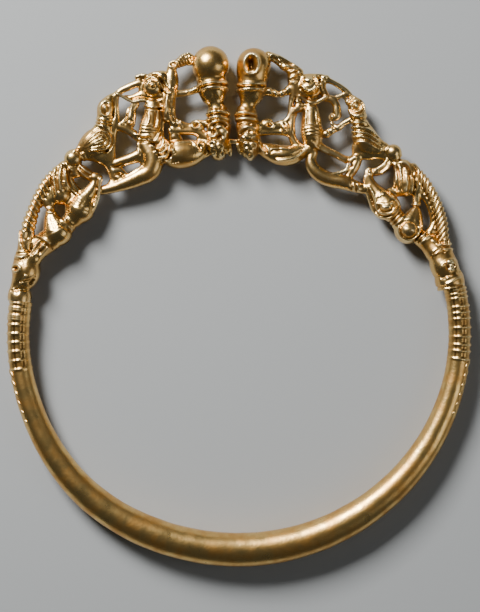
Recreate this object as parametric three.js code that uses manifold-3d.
// A Celtic gold neck ring (torc) of sheet gold: a plain tapering tube behind, and in front two halves
// of openwork figures - manes, swelling bulbs, birds, robed figures, masks - that meet terminal to
// terminal.
// Millimetres, +Z up. It lies on z = 0 with the figured front toward +Y, x and y measured from its middle.
import * as THREE from "three";
import { mergeVertices } from "three/addons/utils/BufferGeometryUtils.js";
import Module from "manifold-3d";

const wasm = await Module();
wasm.setup();

// ---------- driving dimensions ----------
const OUTER_RADIUS = 75; // of the ring: the torc is twice this wide
const RING_CENTRE_Y = -9.3;
const MID_Z = 5.35; // height of the plane that every limb's centre line lies in
const TUBE_BACK = 10.9; // tube diameter at the middle of the back
const TUBE_SIDE = 7.1; // tube diameter at the ribbed ends
const TUBE_TAPER = 1.6; // how fast the tube thins from back to side
const SQUARENESS = 0.9; // the hand-shaped ring stands out this much at the left of its back
const JOINT_GAP = 0.3; // between the ring's ends and the ornament
const LEFT_END_Y = 1.3; // joint faces
const RIGHT_END_Y = 6.0;
const RING_SIDES = 10;
const RING_STEP = 8; // degrees between two sections of the plain tube
const LOBES = 3; // raised lobes of the tendril beyond the ribs, on each face
const LOBE_PITCH = 3.2;
const RIDGE_HEIGHT = 0.4;
const RIDGE_HALF_WIDTH = 0.55;
const PLAIN_AFTER = 4; // the plain tube starts this far past the last ridge
const RIB_RELIEF = 0.4; // of the ribs on manes, wings, combs and folds
const CAP_REACH = 0.62; // a limb's round end: its shoulder, in radii beyond the last station, and how wide
const CAP_WIDTH = 0.78;
const CORNER_REACH = { 4: 1.36, 6: 1.08, 8: 1.06, 10: 1.03 }; // corners over radius, for a true outline
const NEAREST_CORNERS = 0.5; // corners nearer than this are welded after the joins
const MOST_TURN = 0.35; // and a weld may tilt no facet further: the least cosine
const BLUNT_REACH = 0.3; // how far a square end still swells
const SIDES_BY_RADIUS = [[3.3, 8], [1.25, 6], [0, 4]]; // thicker than this: so many facets around
const FLAT_SPOT = 0.35; // the table plane trims this much off the two heavy terminals
const BALL_RADIUS = 6.2; // of the left terminal
const EGG_RADIUS = 6; // of the right terminal
const TERMINAL_SIDES = 12;

const GOLD = new THREE.MeshStandardMaterial({ color: 0xd6a13c, metalness: 1, roughness: 0.28 });
const OLD_GOLD = new THREE.MeshStandardMaterial({ color: 0xc08a34, metalness: 1, roughness: 0.34 });

// ---------- solids ----------
function solid(positions, triangles) {
  const made = (order) =>
    new wasm.Manifold(
      new wasm.Mesh({
        numProp: 3,
        vertProperties: new Float32Array(positions.flat()),
        triVerts: new Uint32Array(order),
      }),
    );
  const first = made(triangles);
  return first.volume() > 0 ? first : made(triangles.slice().reverse());
}

// Skins a row of rings, each a list of as many corners, and closes both ends on the given tips.
function loft(rings, startTip, endTip) {
  const sides = rings[0].length;
  const positions = [...rings.flat(), startTip, endTip];
  const start = positions.length - 2;
  const last = (rings.length - 1) * sides;
  const triangles = [];
  for (let side = 0; side < sides; side++) {
    const next = (side + 1) % sides;
    for (let row = 0; row < last; row += sides)
      triangles.push(row + side, row + next, row + sides + next, row + side, row + sides + next,
        row + sides + side);
    triangles.push(start, next, side, start + 1, last + side, last + next);
  }
  return solid(positions, triangles);
}

// A round or oval section around (x, y, z), square to the direction (dx, dy), with a flat facet underneath.
function section(x, y, z, dx, dy, radius, depth, sides) {
  const sector = (2 * Math.PI) / sides;
  const corner = radius * CORNER_REACH[sides];
  return Array.from({ length: sides }, (_, side) => {
    const angle = (side + 0.5) * sector;
    const across = corner * Math.sin(angle);
    return [x - dy * across, y + dx * across, z - corner * depth * Math.cos(angle)];
  });
}

function direction(from, to) {
  const dx = to[0] - from[0];
  const dy = to[1] - from[1];
  const length = Math.hypot(dx, dy);
  return [dx / length, dy / length];
}

// A limb: stations [x, y, radius] along its centre line. Its ends are cut square where other limbs hide
// them, and head or tail rounds the first or last one. depth is its thickness over its width, z the height
// of its centre line, slant the turn of its sections.
function limb(stations, { depth = 1, z = MID_Z, slant = 0, head = false, tail = false } = {}) {
  const last = stations.length - 1;
  const thickest = Math.max(...stations.map((station) => station[2]));
  const sides = SIDES_BY_RADIUS.find(([least]) => thickest > least)[1];
  const heading = stations.map((_, index) =>
    direction(stations[Math.max(index - 1, 0)], stations[Math.min(index + 1, last)]),
  );
  const turn = THREE.MathUtils.degToRad(slant);
  const rings = stations.map(([x, y, radius], index) => {
    const [dx, dy] = heading[index];
    const [tx, ty] = [dx * Math.cos(turn) - dy * Math.sin(turn), dx * Math.sin(turn) + dy * Math.cos(turn)];
    return section(x, y, z, tx, ty, radius, depth, sides);
  });
  const beyond = (index, reach) => {
    const [x, y, radius] = stations[index];
    const way = index ? 1 : -1;
    return [x + way * heading[index][0] * radius * reach, y + way * heading[index][1] * radius * reach, z];
  };
  const shoulder = (index) =>
    section(...beyond(index, CAP_REACH), ...heading[index], stations[index][2] * CAP_WIDTH, depth, sides);
  const capped = [...(head ? [shoulder(0)] : []), ...rings, ...(tail ? [shoulder(last)] : [])];
  return loft(capped, beyond(0, head ? 1 : BLUNT_REACH), beyond(last, tail ? 1 : BLUNT_REACH));
}

// A bead: a ball with its poles up and down, deeper or shallower than it is wide where depth is not 1.
function bead(x, y, radius, { depth = 1, sides = 8, z = MID_Z, bands = [-45, 0, 45] } = {}) {
  const rings = bands.map((latitude) => {
    const angle = THREE.MathUtils.degToRad(latitude);
    const out = radius * Math.cos(angle);
    return Array.from({ length: sides }, (_, side) => {
      const turn = (side / sides) * 2 * Math.PI;
      return [x + out * Math.cos(turn), y + out * Math.sin(turn), z + radius * depth * Math.sin(angle)];
    });
  });
  return loft(rings, [x, y, z - radius * depth], [x, y, z + radius * depth]);
}

// An eye: a low cone that stands out of both faces, half as wide at its top, its height from the mid-plane.
function boss(x, y, radius, height) {
  const level = (z, out) => {
    const turns = [0, 1, 2, 3, 4, 5].map((side) => (side * Math.PI) / 3);
    return turns.map((turn) => [x + out * Math.cos(turn), y + out * Math.sin(turn), z]);
  };
  const rings = [level(MID_Z - height, radius / 2), level(MID_Z, radius * 1.4), level(MID_Z + height,
    radius / 2)];
  return loft(rings, [x, y, MID_Z - height], [x, y, MID_Z + height]);
}

const joined = (pieces) => pieces.flat().reduce((sum, piece) => sum.add(piece));

const curveThrough = (stations) =>
  new THREE.CatmullRomCurve3(stations.map((s) => new THREE.Vector3(...s)), false, "centripetal");

// Evenly spaced stations of a limb that curves smoothly through the given ones.
const smooth = (stations, count) => curveThrough(stations).getSpacedPoints(count).map((p) => p.toArray());

// The same, with ribs: every other station stands out by the relief.
const ribbed = (stations, ribs, relief) =>
  smooth(stations, ribs * 2).map(([x, y, radius], index) => [x, y, radius + (index % 2 ? relief : 0)]);

// ---------- figures that both halves have ----------
// A mane: a bowed limb whose slanting ribs are part of its skin.
const mane = (spine, ribs, slant) => limb(ribbed(spine, ribs, RIB_RELIEF), { slant });

// A bulb swells out of a thin limb and ends round; a cuff marks where the limb runs into it.
const bulb = (stations) => limb(stations, { tail: true });

// A turned baluster: [y, radius] down its length, on an axis that leans from top to foot.
function baluster(topX, footX, profile) {
  const [topY] = profile[0];
  const footY = profile.at(-1)[0];
  const leaning = profile.map(([y, radius]) => [topX + ((footX - topX) * (topY - y)) / (topY - footY), y,
    radius]);
  return limb(leaning);
}

// ---------- left half ----------
function leftOrnament() {
  const root = [
    limb([[-71.2, 1, 3.5], [-71.1, 3.6, 3.9], [-70.4, 6.4, 2.7], [-69.1, 9.4, 4.4], [-68.9, 12, 4.6],
      [-69.4, 14.8, 3.6]]),
    boss(-71.4, 12, 1.7, 3.3),
    limb([[-67.9, 14, 3.4], [-65.6, 16.8, 2.7], [-63.8, 18.6, 2.9], [-63.1, 19.3, 3.5], [-62.5, 20, 3.1],
      [-61.8, 20.7, 3.8],
      [-60.4, 22.2, 3.7]]),
    limb([[-67.6, 18.8, 1.5], [-64.8, 22, 1.6], [-62.3, 23.8, 1.5]]),
  ];
  const crest = [
    mane([[-59.9, 43.4, 0.9], [-63.8, 37, 1.9], [-66.4, 31, 2.1], [-68.2, 25, 2.3], [-69.3, 19.5, 2.3],
      [-69.6, 15, 2.9]], 12, 38),
    limb([[-60.9, 41.3, 1.2], [-62.4, 37.8, 1.7], [-62.9, 34.6, 1.6], [-62.1, 32, 1.2]]),
  ];
  const bulbs = [
    bulb([[-62.3, 38, 1.4], [-61.4, 31.8, 1.2], [-61.3, 31, 1.7], [-61.2, 30.2, 1.5], [-60.3, 27, 3.1],
      [-58.8, 24.3, 4.6]]),
    bulb([[-46.2, 41.4, 1.5], [-48, 37.2, 2], [-49.6, 34.7, 2.9], [-51.3, 31.4, 4.4]]),
    limb([[-44.9, 41, 0.8], [-45.5, 35, 0.9], [-47.2, 30.8, 0.8]]),
    limb([[-57, 25.2, 3], [-56.1, 26.1, 3.6], [-55.4, 26.8, 3.1], [-54.7, 27.5, 3.6], [-53.8, 28.4, 3]]),
  ];
  const skirt = [
    limb([[-57.4, 45, 1.3], [-59.4, 42.2, 1.7], [-59.9, 35, 1.8]]),
    limb([[-56, 45.4, 1.7], [-57, 42, 2.2], [-57.2, 35.2, 2.1]]),
    limb([[-55.6, 44.6, 1.2], [-55.5, 41, 1.5], [-54.3, 38.2, 1.6], [-52.2, 36.3, 1.5]]),
    limb([[-61.6, 34.9, 1.6], [-57.6, 34.6, 1.9], [-53.2, 34.9, 2.2]]),
  ];
  const beads = [
    bead(-53.6, 47.8, 3.2),
    limb([[-54.2, 46.3, 2.4], [-53.4, 43.6, 1.8]]),
    limb([[-52, 45.3, 1.4], [-50.4, 44.1, 1.9], [-49.2, 43.2, 1.4], [-48.2, 42.4, 1.6]]),
    bead(-46.5, 41.7, 1.8, { sides: 6 }),
  ];
  const wingedBird = [
    limb([[-51.8, 49.2, 1.9], [-50.6, 50.2, 1.8], [-49.2, 51.4, 3.3], [-46.8, 52.8, 4.7],
      [-44.9, 54.2, 4.6], [-44, 56.8, 3.2],
      [-43.8, 58.7, 2.9], [-43.7, 59.6, 2.4], [-43.6, 60.5, 2.9], [-43.1, 64.2, 2.9], [-42, 66.4, 1.9],
        [-40.6, 68, 1.1]], { depth: 0.85 }),
    limb([[-50.2, 50.7, 0.7], [-47.4, 52.5, 1.9], [-45.5, 53.8, 2.7]], { depth: 1.7 }),
    boss(-43.2, 63.9, 1.7, 3.1),
    limb([[-50.8, 49, 1.1], [-46, 50, 3.2], [-42.9, 47, 2.3], [-41.1, 42.8, 1.5], [-40.9, 38.4, 1.7]]),
    limb([[-39.8, 68.6, 0.9], [-40.2, 59, 1.2], [-41, 47.5, 1]]),
  ];
  const reins = [
    limb([[-39.6, 69, 1], [-36.3, 71.4, 1], [-32.7, 73.2, 1.2]]),
    limb([[-39.2, 68.7, 0.8], [-33.8, 66.3, 0.8], [-30.5, 66.6, 0.8], [-25.2, 66.6, 0.9]]),
    limb([[-36.8, 68.2, 0.8], [-31.6, 68.3, 1.5], [-25.2, 68, 1.5]]),
    limb([[-33.8, 66.2, 0.9], [-35.2, 63.3, 1.2], [-35.6, 59.8, 1.6], [-36, 57.6, 1.5]]),
    limb([[-40, 58.9, 1], [-35, 56.6, 1.2], [-32.3, 54.3, 1.2]]),
  ];
  const legs = [
    limb(smooth([[-30, 52.6, 2.5], [-28.2, 48.6, 3], [-28.1, 45, 3.1], [-31.4, 42, 3], [-37, 39.7, 2.2],
      [-45.2, 37.3, 1.5]], 8)),
    limb([[-32.1, 53.4, 1.2], [-31.2, 46.2, 1.1]]),
    limb([[-41.3, 45.6, 0.9], [-36.5, 47.2, 1.5], [-32.3, 48.8, 1.6]]),
    limb([[-40.4, 43.7, 1.2], [-37, 42.6, 1.1]]),
    limb([[-40.5, 42.2, 1.3], [-38.6, 41.2, 1.4]]),
  ];
  const horned = [
    bead(-27.8, 71.2, 3.8),
    limb([[-33.2, 74, 0.9], [-29.3, 74, 1.5], [-24.6, 74.6, 1.8]]),
    limb([[-32.6, 73.4, 1.1], [-31.2, 69, 1.4]]),
    limb([[-24.6, 74.4, 1.8], [-23.6, 69, 1.9]]),
  ];
  const robe = [
    limb([[-27.9, 65.6, 2.3], [-27.9, 64.3, 2.8], [-28, 63, 2.4], [-28.4, 60, 3], [-29, 57.8, 3.3],
      [-29.2, 56.8, 3.7], [-29.4, 55.9, 3.2],
      [-29.5, 55, 3.5], [-29.6, 53.9, 2.8]], { depth: 0.9 }),
    limb(ribbed([[-28.3, 54.6, 1.9], [-25.6, 52.2, 2.1], [-22.6, 48.7, 3]], 4, RIB_RELIEF)),
  ];
  const arms = [
    limb([[-21.6, 77.2, 1.6], [-21.3, 74, 1.9], [-22.2, 69, 2.2], [-22.8, 65, 2.4], [-22.6, 61.8, 2.1]]),
    limb([[-24.3, 61.5, 1.1], [-25.4, 55, 1]]),
    limb([[-22, 61, 1.6], [-21, 54, 1.3]]),
    limb([[-21, 60, 1.4], [-19.8, 59.4, 1.7], [-18.6, 58.8, 1.3], [-15.1, 58, 1.1], [-14.5, 59.2, 0.9],
      [-13, 59.7, 1], [-9.8, 59, 1.2]]),
    limb([[-21.3, 56.6, 1.1], [-16, 56.7, 1.1], [-9.6, 55.4, 1.6]]),
    limb([[-22, 69.6, 1.3], [-10.5, 70.9, 1.3]]),
    limb(ribbed([[-21.8, 77.8, 1.3], [-19.2, 79, 1.5], [-14.8, 79.9, 1.9]], 4, RIB_RELIEF)),
  ];
  const belly = limb([[-22.3, 48.4, 3], [-20, 49.1, 4.4], [-17, 49.2, 4.3], [-14.3, 50, 3.6],
    [-12, 51.7, 2.1], [-10.4, 52.8, 1.5]]);
  const terminal = [
    bead(-9.2, 78.1, BALL_RADIUS,
      { sides: TERMINAL_SIDES, z: BALL_RADIUS - FLAT_SPOT, bands: [-54, -18, 18, 54] }),
    baluster(-8.7, -6.4, [[75, 5], [73, 5], [72, 5.3], [71.2, 4.7], [70.3, 5.2], [69.3, 4.3], [67.4, 2.9],
      [65.2, 2.2],
      [63.8, 2.7], [62.9, 3.8], [62, 3.3], [61, 3.9], [57.5, 4]]),
    limb([[-6.7, 57.6, 3.8], [-7, 52.5, 3.9], [-6.7, 50.4, 3.2]], { depth: 0.9 }),
    boss(-8.3, 56.2, 1.7, 4),
    limb([[-9, 57.9, 0.8], [-7.2, 59.6, 0.8], [-4.2, 58.4, 0.8]], { depth: 5 }),
    limb([[-6.2, 57.6, 1], [-4.2, 56, 1.2]], { depth: 3.6 }),
    limb([[-3.6, 53.4, 0.9], [-1.9, 53.4, 0.7]]),
  ];
  return joined([root, crest, bulbs, skirt, beads, wingedBird, reins, legs, horned, robe, arms, belly,
    terminal]);
}

// ---------- right half ----------
function rightOrnament() {
  const root = [
    limb([[57.4, 22.8, 2.2], [60.6, 21.2, 3], [61.5, 20.5, 3.7], [62.2, 19.8, 3.4], [62.9, 19, 4.1],
      [64, 17.6, 4.1], [66.1, 14, 4.6],
      [67.2, 11.2, 4.3], [67.6, 10, 4.8], [68, 8.9, 4.2], [68.4, 7.4, 4.9], [68.7, 5.4, 4.4]]),
    limb([[66.3, 17, 2.6], [66.4, 19.8, 2.9]]),
    limb([[64.6, 23.2, 1.5], [61.5, 22.6, 1.9]]),
  ];
  const crest = [
    mane([[56.8, 44.2, 0.9], [60.9, 38.4, 1.7], [63.8, 32.4, 1.9], [65.4, 26.8, 2], [66.2, 20, 2.2]],
      12, -42),
    limb([[57, 43, 1.3], [58.6, 38.2, 1.9], [61, 33.6, 1.1], [62.8, 28.6, 1.1], [62, 23.8, 1.6]]),
  ];
  const bulbs = [
    bulb([[57.9, 37, 1.4], [57.5, 33.6, 1.2], [57.4, 32.8, 1.7], [57.3, 32, 1.5], [56.5, 28.4, 3],
      [55, 25, 4.6]]),
    boss(54.7, 24.6, 2.9, 5),
    bulb([[42.2, 43.3, 1.4], [42.2, 41, 1.7], [43.6, 37.8, 2.4], [45.2, 35.4, 3.2], [47.4, 32.7, 4.4]]),
    boss(47.3, 32.1, 2.5, 5),
    limb([[40.9, 42, 0.8], [42.2, 35, 0.9], [43.6, 31, 0.8]]),
    limb([[49.4, 30.6, 3], [50.4, 29.5, 3.6], [51, 28.8, 3.1], [51.7, 28, 3.6], [52.7, 27, 3]]),
  ];
  const skirt = [
    limb([[51, 46, 1.4], [51.7, 42, 1.7], [51.4, 39.5, 1.7], [49.2, 37.2, 1.6]]),
    limb([[51.9, 46.5, 1.8], [53.5, 42.5, 2.2], [53.7, 37.8, 2.1]]),
    limb([[53.4, 46, 1.3], [55.7, 43, 1.7], [56.4, 37.4, 1.8]]),
    limb([[48.8, 36.8, 1.5], [53, 37.2, 1.6], [58, 37.4, 1.8]]),
  ];
  const beads = [
    bead(50, 49.7, 2.9),
    limb([[49.4, 48.5, 1.9], [50.8, 46.4, 1.9]]),
    limb([[47.9, 50.6, 1.6], [47.1, 51, 2.2], [46.3, 51.3, 1.7]]),
    limb([[49.2, 48.2, 1.3], [47.7, 45.8, 1.5], [46, 44.3, 1.5], [42.5, 43.4, 1.5]]),
  ];
  const wingedBird = [
    limb([[36.2, 68, 1], [37.2, 66.5, 2], [38.2, 64.5, 2.8], [38.8, 61.9, 2.6],
      ...ribbed([[38.9, 61, 2.5], [39.5, 57.8, 3], [40.5, 55.2, 3.8], [42, 53, 3.9], [44.4, 51.6, 2.8],
        [46.8, 50.9, 1.9]], 6, RIB_RELIEF)],
      { depth: 0.85 }),
    boss(37.9, 64.6, 1.7, 3),
    limb([[48.2, 49.2, 1.7], [44.5, 49.6, 2], [41.5, 49.6, 2.1], [38.7, 49, 1.7], [37.7, 46.2, 1.7],
      [35.4, 41, 1.7]]),
  ];
  const reins = [
    limb([[28, 73.5, 1.2], [32.3, 71.3, 1], [35.9, 68.2, 1.1]]),
    limb([[19.8, 68, 0.9], [22, 66.2, 0.9], [24.7, 65.8, 0.9], [27, 67, 1]]),
    limb([[26.3, 66.7, 0.8], [29.5, 67.2, 1.2], [31.5, 65.4, 1.3], [31.9, 63.2, 1.3], [31.6, 61.4, 1.3],
      [30.2, 61.2, 1.3]]),
    limb([[30.5, 66.9, 0.8], [35.8, 69, 1]]),
    limb([[26.5, 56, 1.2], [28.4, 56.2, 1.5], [31.6, 57.6, 1.1], [37.6, 61.2, 1.1]]),
  ];
  const legs = [
    limb(smooth([[24.3, 50.4, 1.6], [23.4, 47.3, 2.1], [24.2, 44.5, 2.4], [27.2, 42.2, 2.5],
      [33.5, 40.4, 2.7], [41.8, 38, 1.7]], 9)),
    limb([[25.6, 52.2, 1.4], [30, 49.6, 1.5], [36, 46.3, 1.5]]),
  ];
  const horned = [
    bead(23.2, 71, 4.2),
    limb([[20.6, 73.9, 1.6], [24.5, 74.1, 1.3], [28.3, 73.9, 1.1]]),
    limb([[19.2, 74.6, 1.4], [19, 71.5, 1.8], [19.2, 68.6, 1.6]]),
    limb([[27, 73, 1.5], [27.1, 68.4, 1.5]]),
  ];
  const robe = [
    limb([[23.2, 67.4, 2.2], [23.3, 65.1, 2.7], [23.3, 63.8, 2.3], [23.4, 60, 3.2], [23.5, 58.6, 3.4],
      [23.5, 57.6, 3.9], [23.5, 56.6, 3.5],
      [23.5, 55.6, 3.8], [23.7, 54.4, 3], [24, 50.8, 2]], { depth: 0.9 }),
    limb([[21, 51, 2], [24.3, 50.3, 1.7]]),
  ];
  const arms = [
    limb([[17.5, 75, 1.9], [17.9, 68.6, 1.7]]),
    limb([[17.7, 68, 1.4], [16.9, 64.5, 1.1], [15.9, 60.9, 1], [11.3, 58.8, 1]]),
    limb([[21, 65, 1.3], [19.2, 64.4, 1.8], [17.6, 61.5, 1.2], [16.9, 57, 1.4], [17.4, 54.5, 1.4],
      [19.4, 51.6, 1.7]]),
    limb([[9.6, 59.8, 1.3], [8.1, 58.4, 1.5], [9.8, 57.5, 1.1], [14.8, 57.7, 1.7]]),
    limb([[5.6, 58, 1.9], [7.6, 58.5, 1.5]]),
    limb([[7, 56.4, 1.2], [16.5, 56.1, 1.2]]),
    limb(ribbed([[7.8, 69.5, 1.1], [12.3, 68.9, 1.1], [17, 70.5, 1.2]], 4, RIB_RELIEF * 1.4)),
    limb([[9.2, 81.4, 1.1], ...ribbed([[11, 80.5, 1.2], [14.8, 78, 1.4], [18, 76.2, 1.5]],
      4, RIB_RELIEF), [20.8, 74.9, 1.6]]),
  ];
  const belly = [
    limb([[6, 51.6, 1.8], [7.8, 50.9, 2.1], [10.5, 49.9, 2.9], [13.5, 49, 3.2], [16.8, 49, 3.1],
      [21.8, 51, 1.9]]),
  ];
  const terminal = [
    bead(4.9, 78, EGG_RADIUS, { sides: TERMINAL_SIDES, z: EGG_RADIUS - FLAT_SPOT, bands: [-54, -18, 18, 54] }),
    baluster(4.6, 2.9, [[76.5, 5.2], [73, 4.6], [72.2, 4.3], [71.4, 4.8], [70.6, 4.2], [69.8, 4.7],
      [68.6, 3.9], [66.5, 3], [64.3, 2.5],
      [63.2, 2.7], [62.3, 3.6], [61.3, 3.2], [59.8, 3.7], [57.5, 3.8]]),
    limb([[3, 57.4, 3.7], [3.5, 52.5, 3.5], [3.5, 50.4, 3.1], [3.7, 48.9, 1.6]], { depth: 0.95 }),
    limb([[-0.2, 56.4, 0.8], [2.4, 57.8, 0.8], [5, 57.2, 0.8]], { depth: 4.6 }),
    limb([[0.4, 53.2, 0.9], [0.3, 51.6, 1.1], [1, 50, 1]]),
  ];
  const figures = joined([root, crest, bulbs, skirt, beads, wingedBird, reins, legs, horned, robe, arms,
    belly, terminal]);
  const eye = bead(4.2, 77.8, 2, { sides: 6, z: 12, bands: [0] });
  return figures.subtract(eye);
}

// ---------- the ring ----------
const SIDE_LINE = OUTER_RADIUS - TUBE_SIDE / 2; // radius of the centre line at the sides
const LEFT_END = 180 - THREE.MathUtils.radToDeg(Math.asin((LEFT_END_Y - RING_CENTRE_Y) / SIDE_LINE));
const RIGHT_END = 360 + THREE.MathUtils.radToDeg(Math.asin((RIGHT_END_Y - RING_CENTRE_Y) / SIDE_LINE));
const BACK = 270;
const SQUARE_AT = 225;
const DEGREES_PER_MM = 180 / Math.PI / (OUTER_RADIUS - TUBE_SIDE / 2);

// Radius of the tube and of its centre line, at an angle around the ring.
function tubeAt(degrees) {
  const away = Math.min(Math.abs(degrees - BACK), 90);
  const taper = Math.cos(THREE.MathUtils.degToRad(away)) ** TUBE_TAPER;
  const radius = (TUBE_SIDE + (TUBE_BACK - TUBE_SIDE) * taper) / 2;
  const outer = OUTER_RADIUS + SQUARENESS * Math.exp(-(((degrees - SQUARE_AT) / 22) ** 2));
  return { radius, line: outer - radius };
}

function ringStation(degrees, raised = 0) {
  const { radius, line } = tubeAt(degrees);
  const angle = THREE.MathUtils.degToRad(degrees);
  const [x, y] = [line * Math.cos(angle), RING_CENTRE_Y + line * Math.sin(angle)];
  return section(x, y, MID_Z, -Math.sin(angle), Math.cos(angle), radius + raised, 1, RING_SIDES);
}

// Ridge positions, in mm from each end of the ring: a tight group at the joint, then an even row.
function ridgeRow(tight, firstEven, count, pitch) {
  return [...tight, ...Array.from({ length: count }, (_, i) => firstEven + i * pitch)];
}
const LEFT_RIDGES = ridgeRow([0.75, 2.2], 4.9, 6, 2.9);
const RIGHT_RIDGES = ridgeRow([0.75, 2.1, 3.6], 6.3, 6, 2.75);

function ringTube() {
  const rings = [ringStation(LEFT_END)];
  const ridge = (at) => {
    const half = RIDGE_HALF_WIDTH * DEGREES_PER_MM;
    rings.push(ringStation(at - half), ringStation(at, RIDGE_HEIGHT), ringStation(at + half));
  };
  LEFT_RIDGES.forEach((mm) => ridge(LEFT_END + mm * DEGREES_PER_MM));
  const plainFrom = LEFT_END + (LEFT_RIDGES.at(-1) + PLAIN_AFTER) * DEGREES_PER_MM;
  const plainTo = RIGHT_END - (RIGHT_RIDGES.at(-1) + PLAIN_AFTER) * DEGREES_PER_MM;
  const steps = Math.round((plainTo - plainFrom) / RING_STEP);
  const stride = (plainTo - plainFrom) / steps;
  for (let step = 0; step <= steps; step++) rings.push(ringStation(plainFrom + stride * step));
  RIGHT_RIDGES.toReversed().forEach((mm) => ridge(RIGHT_END - mm * DEGREES_PER_MM));
  rings.push(ringStation(RIGHT_END));
  const middle = (ring) => [0, 1, 2].map((axis) => ring.reduce((sum, corner) => sum + corner[axis],
    0) / ring.length);
  return loft(rings, middle(rings[0]), middle(rings.at(-1)));
}

// The tendril beyond the ribs: raised lobes, left and right of the tube's crown by turns.
function lobes(firstDegrees, sign) {
  const row = [];
  for (let lobe = 0; lobe < LOBES; lobe++) {
    const degrees = firstDegrees + sign * lobe * LOBE_PITCH * DEGREES_PER_MM;
    const { radius, line } = tubeAt(degrees);
    const angle = THREE.MathUtils.degToRad(degrees);
    const off = (lobe % 2 ? -0.32 : 0.32) * radius;
    const [x, y] = [(line + off) * Math.cos(angle), RING_CENTRE_Y + (line + off) * Math.sin(angle)];
    const width = 1.6 - 0.1 * lobe;
    for (const face of [-1, 1]) row.push(bead(x, y, width, { depth: 0.5, sides: 5,
      z: MID_Z + face * radius * 0.9, bands: [0] }));
  }
  return row;
}

// ---------- the torc ----------
const REACH = 200; // of the blocks that trim the forms, past all of them

function block(width, length, height, place) {
  const box = new THREE.BoxGeometry(width, length, height).applyMatrix4(place);
  box.deleteAttribute("normal");
  box.deleteAttribute("uv");
  const merged = mergeVertices(box);
  const corner = (_, i) => new THREE.Vector3().fromBufferAttribute(merged.attributes.position, i).toArray();
  return solid(Array.from({ length: merged.attributes.position.count }, corner),
    Array.from(merged.index.array));
}
const aboveTable = block(REACH, 2 * REACH, REACH, new THREE.Matrix4().makeTranslation(0, 0, REACH / 2));

// All that lies past an end of the ring, from the joint's gap on; way is the sense that leads out of the
// ring.
function pastEnd(degrees, way) {
  const angle = THREE.MathUtils.degToRad(degrees);
  const { line } = tubeAt(degrees);
  const place = new THREE.Matrix4()
    .makeTranslation(line * Math.cos(angle), RING_CENTRE_Y + line * Math.sin(angle), REACH / 2)
    .multiply(new THREE.Matrix4().makeRotationZ(angle))
    .multiply(new THREE.Matrix4().makeTranslation(0, way * (REACH / 2 + JOINT_GAP), 0));
  return block(2 * REACH, REACH, REACH, place);
}

// The joins leave slivers along every seam: draws each corner that is too near another onto it, where the
// surface stays closed and no facet turns over.
function welded(form) {
  const made = form.getMesh();
  const corners = [];
  for (let i = 0; i < made.vertProperties.length; i += 3)
    corners.push(new THREE.Vector3(...made.vertProperties.slice(i, i + 3)));
  const facets = [];
  for (let i = 0; i < made.triVerts.length; i += 3) facets.push([...made.triVerts.slice(i, i + 3)]);
  const around = corners.map(() => new Set());
  facets.forEach((facet, index) => facet.forEach((corner) => around[corner].add(index)));
  const touching = (corner) => [...around[corner]].flatMap((index) => facets[index]);
  const neighbours = (corner) => new Set(touching(corner).filter((other) => other !== corner));
  const normal = (facet) => {
    const [a, b, c] = facet.map((corner) => corners[corner]);
    return b.clone().sub(a).cross(c.clone().sub(a)).normalize();
  };
  const drawn = (from, onto) => {
    const shared = [...neighbours(from)].filter((corner) => neighbours(onto).has(corner));
    if (shared.length !== 2) return false;
    const kept = [...around[from]].filter((index) => !facets[index].includes(onto));
    const moved = kept.map((index) => facets[index].map((corner) => (corner === from ? onto : corner)));
    if (moved.some((facet, i) => normal(facet).dot(normal(facets[kept[i]])) < MOST_TURN)) return false;
    [...around[from]].filter((index) => facets[index].includes(onto)).forEach((index) => {
      facets[index].forEach((corner) => around[corner].delete(index));
      facets[index] = null;
    });
    kept.forEach((index, i) => {
      facets[index] = moved[i];
      around[onto].add(index);
    });
    around[from].clear();
    return true;
  };
  let changed = true;
  while (changed) {
    changed = false;
    for (let corner = 0; corner < corners.length; corner++) {
      const near = [...neighbours(corner)]
        .filter((other) => corners[other].distanceTo(corners[corner]) < NEAREST_CORNERS);
      changed = near.some((other) => drawn(corner, other)) || changed;
    }
  }
  return solid(corners.map((corner) => corner.toArray()), facets.filter(Boolean).flat());
}

function asMesh(name, form, material) {
  const made = form.getMesh();
  const geometry = new THREE.BufferGeometry();
  geometry.setAttribute("position", new THREE.BufferAttribute(made.vertProperties, 3));
  geometry.setIndex(new THREE.BufferAttribute(made.triVerts, 1));
  geometry.computeVertexNormals();
  const mesh = new THREE.Mesh(geometry, material);
  mesh.name = name;
  return mesh;
}

const ring = joined([
  ringTube(),
  lobes(LEFT_END + (LEFT_RIDGES.at(-1) + LOBE_PITCH) * DEGREES_PER_MM, 1),
  lobes(RIGHT_END - (RIGHT_RIDGES.at(-1) + LOBE_PITCH) * DEGREES_PER_MM, -1),
]).intersect(aboveTable);
const left = welded(leftOrnament().intersect(pastEnd(LEFT_END, -1)).intersect(aboveTable));
const right = welded(rightOrnament().intersect(pastEnd(RIGHT_END, 1)).intersect(aboveTable));

const torc = new THREE.Group();
torc.name = "torc";
torc.add(asMesh("neck_ring", ring, OLD_GOLD));
torc.add(asMesh("left_ornament", left, GOLD));
torc.add(asMesh("right_ornament", right, GOLD));

export default torc;
